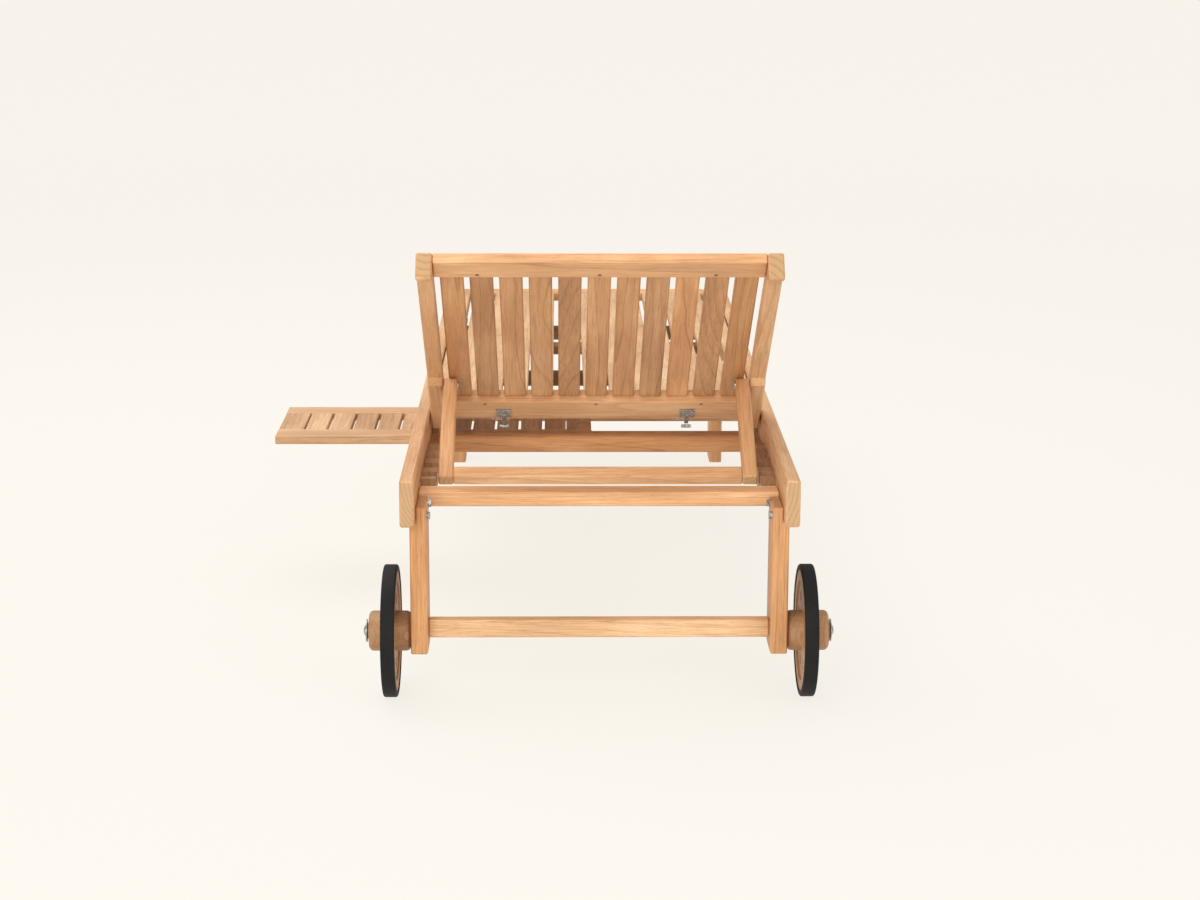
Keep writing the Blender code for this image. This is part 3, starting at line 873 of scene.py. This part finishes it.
@dataclass
class Wheel:
    """A tyred wooden wheel with a recessed web, round holes, barrel hubs and its bolt."""

    label: str
    side: int
    steel: bpy.types.Material
    rubber: bpy.types.Material
    axle_y: float = -0.8482
    radius: float = 0.1106
    tyre: float = 0.0090
    face_in: float = 0.3347
    face_out: float = 0.3577
    hub: float = 0.0335
    hub_in: float = 0.3125
    hub_out: float = 0.3826
    bore: float = 0.0052
    hub_soft: float = 0.008
    rim: float = 0.0190
    inset: float = 0.0015
    recess: float = 0.0030
    lip: float = 0.0012
    fillet: float = 0.001
    edge: float = 0.0005
    tyre_gap: float = 0.0002
    tyre_soft: float = 0.0032
    holes: int = 8
    hole_radius: float = 0.0095
    hole_place: float = 0.0580
    log_x: float = 0.346
    collar_radius: float = 0.0132
    washer_radius: float = 0.0190
    washer_thick: float = 0.0018
    shank_end: float = 0.2900
    shank_radius: float = 0.0050
    bolt_dome: tuple[tuple[float, float], ...] = (
        (0.0018, 0.0098), (0.0026, 0.0096), (0.0042, 0.0082), (0.0056, 0.0055), (0.0063, 0.0025),
        (0.0065, 0.0))

    @property
    def centre(self) -> Point:
        """The point of the axle on the lounger's middle plane."""
        return (MIDDLE_X, self.axle_y, self.radius)

    def wood_section(self) -> list[tuple[float, float]]:
        """The turned wood's section: hubs, recessed web and rim.

        Returns:
            The section's points as (along, radius).
        """
        disc = self.radius - self.tyre - self.tyre_gap
        low, high = self.face_in + self.inset, self.face_out - self.inset
        web_low, web_high = low + self.recess, high - self.recess
        step = disc - self.rim
        soft, hub_corner = self.hub_soft, self.hub - self.hub_soft
        points = [(self.hub_in, self.bore)]
        points += near_corner(self.hub_in + soft, hub_corner, soft)
        points += [(web_low - self.fillet, self.hub), (web_low, self.hub + self.fillet)]
        points += [(web_low, step), (low, step + self.lip)]
        points += [(low, disc - self.edge), (low + self.edge, disc)]
        points += [(high - self.edge, disc), (high, disc - self.edge)]
        points += [(high, step + self.lip), (web_high, step)]
        points += [(web_high, self.hub + self.fillet), (web_high + self.fillet, self.hub)]
        points += corner(self.hub_out - soft, hub_corner, soft)[::-1]
        points += [(self.hub_out, self.bore)]
        return points

    def with_holes(self, mesh: bpy.types.Mesh) -> bpy.types.Mesh:
        """Bores the ring of round holes through the web.

        Args:
            mesh: The turned wood.

        Returns:
            The bored mesh.
        """
        shape = bmesh.new()
        middle = self.side * (self.face_in + self.face_out) / 2
        turned = 0.25 + 0.1 * self.side
        across = Matrix.Rotation(math.pi / 2, 4, "Y")
        for number in range(self.holes):
            angle = math.tau * (number + turned) / self.holes
            spoke = Vector((middle, self.hole_place * math.cos(angle), self.hole_place * math.sin(angle)))
            bmesh.ops.create_cone(shape, segments=24, radius1=self.hole_radius, radius2=self.hole_radius,
                                  depth=0.05, cap_ends=True,
                                  matrix=Matrix.Translation(Vector(self.centre) + spoke) @ across)
        tool = bpy.data.objects.new("hole cutter", mesh_from(shape, "hole cutter"))
        wood = bpy.data.objects.new("wheel blank", mesh)
        for made in (tool, wood):
            bpy.context.scene.collection.objects.link(made)
        step = wood.modifiers.new("holes", "BOOLEAN")
        step.operation = "DIFFERENCE"
        step.solver = "EXACT"
        step.object = tool
        view = bpy.context.evaluated_depsgraph_get()
        bored = bpy.data.meshes.new_from_object(wood.evaluated_get(view), depsgraph=view)
        for made in (tool, wood):
            bpy.data.objects.remove(made, do_unlink=True)
        return bored

    def build(self) -> None:
        """Makes the wood, the tyre, the collar and the bolt with its washer."""
        body = f"wheel_{self.label}"
        middle = (MIDDLE_X + self.side * self.log_x, self.axle_y, self.radius)
        teak = Teak(name=f"teak wheel {self.label}", lay=Lay.DISC, middle=middle, seed=900 + self.side,
                    tone=0.66, warmth=1.2, heart=0.035, ring=0.0060, figure=1.33).made()
        wood = self.with_holes(lathe("wheel wood", self.wood_section(), self.side, self.centre))
        piece = add_piece(f"wheel_wood_{self.label}", wood, teak, body)
        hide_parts(f"wheel_{self.label}")
        soft = self.tyre_soft
        inner = self.radius - self.tyre
        section = [(self.face_in, inner)]
        section += near_corner(self.face_in + soft, self.radius - soft, soft, 4)
        section += corner(self.face_out - soft, self.radius - soft, soft, 4)[::-1]
        section += [(self.face_out, inner)]
        tyre = add_piece(f"tyre_tread_{self.label}", lathe("tyre", section, self.side, self.centre, 112),
                         self.rubber, body)
        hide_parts(f"tyre_{self.label}")
        self.build_collar()
        self.build_bolt()

    def build_collar(self) -> None:
        """Makes the thin dark wooden collar between the hub and the bolt's washer."""
        near, far = self.hub_out + 0.0002, self.hub_out + 0.0030
        bore, shoulder, bevel = 0.0053, self.collar_radius - 0.0007, 0.0006
        section = [(near, bore), (near, shoulder), (near + bevel, self.collar_radius),
                   (far - bevel, self.collar_radius), (far, shoulder), (far, bore)]
        teak = Teak(name=f"teak collar {self.label}", lay=Lay.POST, middle=self.centre, seed=77, tone=0.55,
                    warmth=1.0)
        collar = lathe("collar", section, self.side, self.centre, 40)
        add_piece(f"axle_collar_{self.label}", collar, teak.made(), "frame")

    def build_bolt(self) -> None:
        """Makes the washer, domed head and shank that hold the wheel on its leg."""
        start = self.hub_out + 0.0032
        end, rounded, shank = self.shank_end, 0.0020, self.shank_radius
        section = [(end, 0.0), (end, shank - rounded), (end + rounded, shank), (start, shank)]
        section += [(start, self.washer_radius - 0.0004), (start + 0.0003, self.washer_radius)]
        section += [(start + self.washer_thick - 0.0003, self.washer_radius),
                    (start + self.washer_thick, self.washer_radius - 0.0004)]
        section += [(start + along, radius) for along, radius in self.bolt_dome]
        piece = add_piece(f"axle_bolt_{self.label}", lathe("bolt", section, self.side, self.centre, 64),
                          self.steel, "frame")
        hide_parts(f"axle_{self.label}")


@dataclass
class Tray:
    """The pull-out side tray: two long boards, two end boards and a row of slats between them."""

    long_width: float = 0.0590
    far_narrower: float = 0.0056
    end_width: float = 0.0480
    gap: float = 0.0055
    slat_count: int = 11
    seam: float = 0.0004
    sunk: float = 0.0003
    drop: float = 0.0008
    edge: float = 0.0022
    slat_edge: float = 0.0018
    warmth: float = -0.9

    def build(self) -> None:
        """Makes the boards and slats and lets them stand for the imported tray."""
        low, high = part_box("side_tray")
        near = low.y + self.long_width + self.seam
        far = high.y - self.long_width + self.far_narrower
        floor, top = low.z + self.sunk, high.z - self.sunk
        strips = {
            "tray_board_near": (low, (high.x, near - self.seam, high.z), Lay.CROSS, 0.90),
            "tray_board_far": ((low.x, far + self.seam, low.z), high, Lay.CROSS, 0.86),
            "tray_end_outer": ((low.x + self.seam, near, floor), (low.x + self.end_width, far, top),
                               Lay.LONG, 0.86),
            "tray_end_inner": ((high.x - self.end_width, near, floor), (high.x - self.seam, far, top),
                               Lay.LONG, 0.80),
        }
        for number, (name, (first, last, lay, tone)) in enumerate(strips.items()):
            middle = tuple((Vector(first) + Vector(last)) / 2)
            look = Teak(name=f"teak {name}", lay=lay, middle=middle, seed=500 + number, tone=tone,
                        warmth=self.warmth, heart=0.06).made()
            piece = add_piece(name, rounded_board(name, first, last, self.edge, 3), look, "tray")
            if number == 0:
                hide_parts("side_tray")
        self.build_slats(low, high, near, far)

    def build_slats(self, low: Vector, high: Vector, near: float, far: float) -> None:
        """Makes the row of slats.

        Args:
            low: The tray's lowest corner.
            high: The tray's highest corner.
            near: Where the slats start.
            far: Where the slats end.
        """
        room = (high.x - self.end_width) - (low.x + self.end_width)
        pitch = (room + self.gap * 0.2) / self.slat_count
        start = low.x + self.end_width + pitch / 2
        points = [(start + i * pitch, (near + far) / 2, (low.z + high.z) / 2) for i in range(self.slat_count)]
        look = Teak(name="teak tray slats", lay=Lay.LONG, middle=points[5], seed=611, tone=0.97,
                    warmth=self.warmth, heart=0.16, ring=0.0070, slat_pitch=pitch).made()
        size = (pitch - self.gap, far - near - self.seam, high.z - low.z - 2 * self.drop)
        mesh = slat_rule().run("tray slats", points, {"Size": size, "Look": look})
        piece = add_piece("tray_slats", mesh, look, "tray")
        bevel = piece.modifiers.new("softened edges", "BEVEL")
        bevel.width = self.slat_edge
        bevel.segments = 2
        bevel.limit_method = "ANGLE"


@dataclass
class Fittings:
    """Leg bolts, plugs, hinge knuckles, screws and the prop's pivots."""

    steel: bpy.types.Material
    bolt_places: tuple[tuple[float, float], ...] = ((0.020, 0.3140), (0.060, 0.3250))
    nut: Fastener = Fastener(0.0066, 0.0048, 0.0001, 0.0082, 0.0014, 6)
    bolt_head: Fastener = Fastener(0.0085, 0.0010, 0.0024, 0.0080, 0.0006, 28)
    screw: Fastener = Fastener(0.0030, 0.0004, 0.0010, 0.0028, 0.0002)
    screw_places: tuple[tuple[float, float], ...] = ((-0.0075, 0.052), (0.0075, 0.052), (0.0, 0.040))
    plug: Fastener = Fastener(0.0032, 0.0004, 0.0002, 0.00288, 0.0002)
    plug_places: tuple[float, ...] = (-0.200, 0.0, 0.190)
    top_plug_line: float = 0.5596
    bottom_plug_line: float = 0.0816
    panel_front: float = 0.0325
    top_rail_thick: float = 0.0180
    bottom_rail_thick: float = 0.0265
    leaf_thick: float = 0.0025
    knuckle_radius: float = 0.0030
    knuckle_inset: float = 0.0050
    knuckle_bevel: tuple[float, float] = (0.0005, 0.0004)
    behind: Point = (math.pi - RECLINE, 0.0, 0.0)

    def on_back(self, x: float, along: float, height: float) -> Point:
        """A point given on the backrest's own plane.

        Args:
            x: From the lounger's middle plane.
            along: From the hinge line, towards the head end.
            height: Over the hinge line, square to the backrest.

        Returns:
            The point in the model's coordinates.
        """
        cos, sin = math.cos(RECLINE), math.sin(RECLINE)
        return (MIDDLE_X + x, HINGE[1] - along * cos + height * sin, HINGE[2] + along * sin + height * cos)

    def leg_bolts(self, rule: Rule) -> None:
        """Puts nuts inside the legs and domed heads on the rails.

        Args:
            rule: The fastener rule.
        """
        for label, side in SIDES:
            inside: list[Point] = []
            outside: list[Point] = []
            for leg in ("head_leg", "foot_leg"):
                low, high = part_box(f"{leg}_{label}")
                rail_low, rail_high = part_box(f"side_rail_{label}")
                face = low.x if side > 0 else high.x
                skin = rail_high.x if side > 0 else rail_low.x
                inside += [(face - side * 0.0006, low.y + y, z) for y, z in self.bolt_places]
                outside += [(skin + side * 0.0001, low.y + y, z) for y, z in self.bolt_places]
            nuts = rule.run("leg nuts", inside, self.nut.inputs((0.0, -side * math.pi / 2, 0.0), self.steel))
            add_piece(f"leg_nuts_{label}", nuts, self.steel, "frame")
            outward = (0.0, side * math.pi / 2, 0.0)
            heads = rule.run("bolt heads", outside, self.bolt_head.inputs(outward, self.steel))
            add_piece(f"leg_bolt_heads_{label}", heads, self.steel, "frame")

    def plugs(self, rule: Rule) -> None:
        """Puts dark wooden plugs in the backrest's two rails, on their backs.

        Args:
            rule: The fastener rule.
        """
        top_z = self.panel_front - self.top_rail_thick
        bottom_z = self.panel_front - self.bottom_rail_thick
        points = [self.on_back(x, self.bottom_plug_line, bottom_z - 0.0001) for x in self.plug_places]
        points += [self.on_back(x, self.top_plug_line, top_z - 0.0001) for x in self.plug_places]
        look = Teak(name="teak plugs", lay=Lay.CROSS, middle=points[0], seed=41, tone=0.34, warmth=0.2).made()
        plugs = rule.run("plugs", points, self.plug.inputs(self.behind, look))
        add_piece("backrest_plugs", plugs, look, "backrest")

    def hinges(self, rule: Rule) -> None:
        """Puts knuckles on the hinge line and screws in the back leaves.

        Args:
            rule: The fastener rule.
        """
        bevel, shoulder = self.knuckle_bevel[0], self.knuckle_radius - self.knuckle_bevel[1]
        leaf_z = self.panel_front - self.bottom_rail_thick - self.leaf_thick
        for label, _ in SIDES:
            low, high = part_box(f"hinge_back_leaf_{label}")
            start, end = low.x + self.knuckle_inset, high.x - self.knuckle_inset
            section = [(start, 0.0), (start, shoulder), (start + bevel, self.knuckle_radius),
                       (end - bevel, self.knuckle_radius), (end, shoulder), (end, 0.0)]
            knuckle = lathe("knuckle", section, 1, (0.0, HINGE[1], HINGE[2]), 28)
            add_piece(f"hinge_knuckle_{label}", knuckle, self.steel, "backrest")
            x = (low.x + high.x) / 2 - MIDDLE_X
            points = [self.on_back(x + aside, along, leaf_z) for aside, along in self.screw_places]
            screws = rule.run("hinge screws", points, self.screw.inputs(self.behind, self.steel))
            add_piece(f"hinge_screws_{label}", screws, self.steel, "backrest")
            for leaf in ("back", "seat"):
                node = frame["nodes"][f"hinge_{leaf}_leaf_{label}"]
                node.data.materials.clear()
                node.data.materials.append(self.steel)

    def pivots(self) -> None:
        """Puts a cap bolt through each prop arm at its pivot."""
        pivot = frame["joints"][1]["pos_m"]
        for label, side in SIDES:
            low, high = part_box(f"prop_arm_{label}")
            inner = (low.x if side > 0 else high.x) - MIDDLE_X
            face = abs(inner)
            outline = ((0.0030, 0.0), (0.0030, 0.0040), (0.0022, 0.0060), (0.0008, 0.0068), (0.0001, 0.0068),
                       (0.0001, 0.0))
            section = [(face - proud, radius) for proud, radius in outline]
            bolt = lathe("pivot bolt", section, side, (MIDDLE_X, pivot[1], pivot[2]), 32)
            add_piece(f"prop_pivot_{label}", bolt, self.steel, "prop")

    def build(self) -> None:
        """Makes all the small fittings."""
        rule = fastener_rule()
        self.leg_bolts(rule)
        self.plugs(rule)
        self.hinges(rule)
        self.pivots()


@dataclass(frozen=True)
class Lamp:
    """A soft square lamp: where it hangs, what it faces, its width, its power and its light."""

    name: str
    place: Point
    target: Point
    size: float
    watts: float
    colour: Colour

    def hang(self) -> None:
        """Adds the lamp to the scene."""
        light = bpy.data.lights.new(self.name, "AREA")
        light.size = self.size
        light.energy = self.watts
        light.color = self.colour
        made = bpy.data.objects.new(self.name, light)
        made.location = self.place
        facing = Vector(self.target) - Vector(self.place)
        made.rotation_euler = facing.to_track_quat("-Z", "Y").to_euler()
        bpy.context.scene.collection.objects.link(made)


@dataclass
class Studio:
    """Pale seamless floor, soft light from behind the camera and the camera itself."""

    paper: Colour = (0.935, 0.900, 0.835)
    place: Point = (0.0389, -4.8436, 1.3535)
    pitch: float = 0.2296
    yaw: float = 0.0169
    roll: float = 0.0035
    lens: float = 75.0
    floor_size: float = 60.0
    floor_tone: float = 0.12
    floor_glow: tuple[float, float] = (0.895, 0.930)
    room_light: float = 0.62
    lamps: tuple[Lamp, ...] = (
        Lamp("key", (-1.2, -4.6, 1.9), (0.1, -0.6, 0.3), 2.6, 95.0, (1.0, 0.99, 0.97)),
        Lamp("fill", (2.4, -3.4, 2.2), (0.1, -0.4, 0.3), 2.2, 30.0, (1.0, 0.99, 0.975)),
        Lamp("top", (-0.9, 0.7, 3.6), (0.0, 0.2, 0.3), 3.2, 105.0, (1.0, 0.985, 0.965)),
    )

    def floor(self) -> None:
        """Lays a wide pale floor."""
        shape = bmesh.new()
        bmesh.ops.create_grid(shape, x_segments=1, y_segments=1, size=self.floor_size)
        mesh = bpy.data.meshes.new("floor")
        shape.to_mesh(mesh)
        shape.free()
        graph = Graph("pale floor")
        paper = [self.floor_tone * part for part in self.paper]
        graph.shader.inputs["Base Color"].default_value = (*paper, 1.0)
        graph.shader.inputs["Roughness"].default_value = 1.0
        graph.shader.inputs["Specular IOR Level"].default_value = 0.0
        graph.shader.inputs["Emission Color"].default_value = (*self.paper, 1.0)
        away = graph.add("VectorMath", operation="LENGTH")
        graph.join(graph.add("TexCoord").outputs["Object"], away.inputs[0])
        near, far = self.floor_glow
        glow = graph.add("MapRange", {"From Min": 0.5, "From Max": 9.0, "To Min": near, "To Max": far},
                         interpolation_type="SMOOTHSTEP")
        graph.join(away.outputs["Value"], glow.inputs["Value"])
        graph.join(glow.outputs["Result"], graph.shader.inputs["Emission Strength"])
        floor = bpy.data.objects.new("floor", mesh)
        bpy.context.scene.collection.objects.link(floor)
        mesh.materials.append(graph.material)
        floor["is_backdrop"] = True

    def sky(self) -> None:
        """Fills the room with even pale light."""
        world = bpy.data.worlds.new("room")
        bpy.context.scene.world = world
        world.use_nodes = True
        back = world.node_tree.nodes["Background"]
        back.inputs["Color"].default_value = (*self.paper, 1.0)
        back.inputs["Strength"].default_value = self.room_light

    def camera(self) -> None:
        """Sets the camera behind the head end, a little over the backrest."""
        ahead = Vector((math.sin(self.yaw) * math.cos(self.pitch), math.cos(self.yaw) * math.cos(self.pitch),
                        -math.sin(self.pitch)))
        right = Vector((math.cos(self.yaw), -math.sin(self.yaw), 0.0))
        up = right.cross(ahead)
        tilted = right * math.cos(self.roll) + up * math.sin(self.roll)
        upright = up * math.cos(self.roll) - right * math.sin(self.roll)
        data = bpy.data.cameras.new("camera")
        data.lens = self.lens
        data.sensor_width = 36.0
        data.clip_end = 200.0
        made = bpy.data.objects.new("camera", data)
        made.matrix_world = Matrix((
            (tilted.x, upright.x, -ahead.x, self.place[0]),
            (tilted.y, upright.y, -ahead.y, self.place[1]),
            (tilted.z, upright.z, -ahead.z, self.place[2]),
            (0.0, 0.0, 0.0, 1.0)))
        bpy.context.scene.collection.objects.link(made)
        bpy.context.scene.camera = made

    def build(self) -> None:
        """Sets up the whole studio."""
        bpy.context.scene.view_settings.view_transform = "Standard"
        self.floor()
        self.sky()
        for lamp in self.lamps:
            lamp.hang()
        self.camera()


def box_now() -> list[list[float]]:
    """The whole object's box, as plain numbers."""
    return [[float(value) for value in corner_point] for corner_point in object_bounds()]


def main() -> None:
    """Builds the studio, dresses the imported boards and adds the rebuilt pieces."""
    logging.basicConfig(level=logging.INFO, format="%(message)s")
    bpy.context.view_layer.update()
    Studio().build()
    steel = Steel().made()
    rubber = Rubber().made()
    Boards().dress()
    for label, side in SIDES:
        Wheel(label=label, side=side, steel=steel, rubber=rubber).build()
    Tray().build()
    Fittings(steel=steel).build()
    LOG.info("size %s", box_now())


if __name__ == "__main__":
    main()
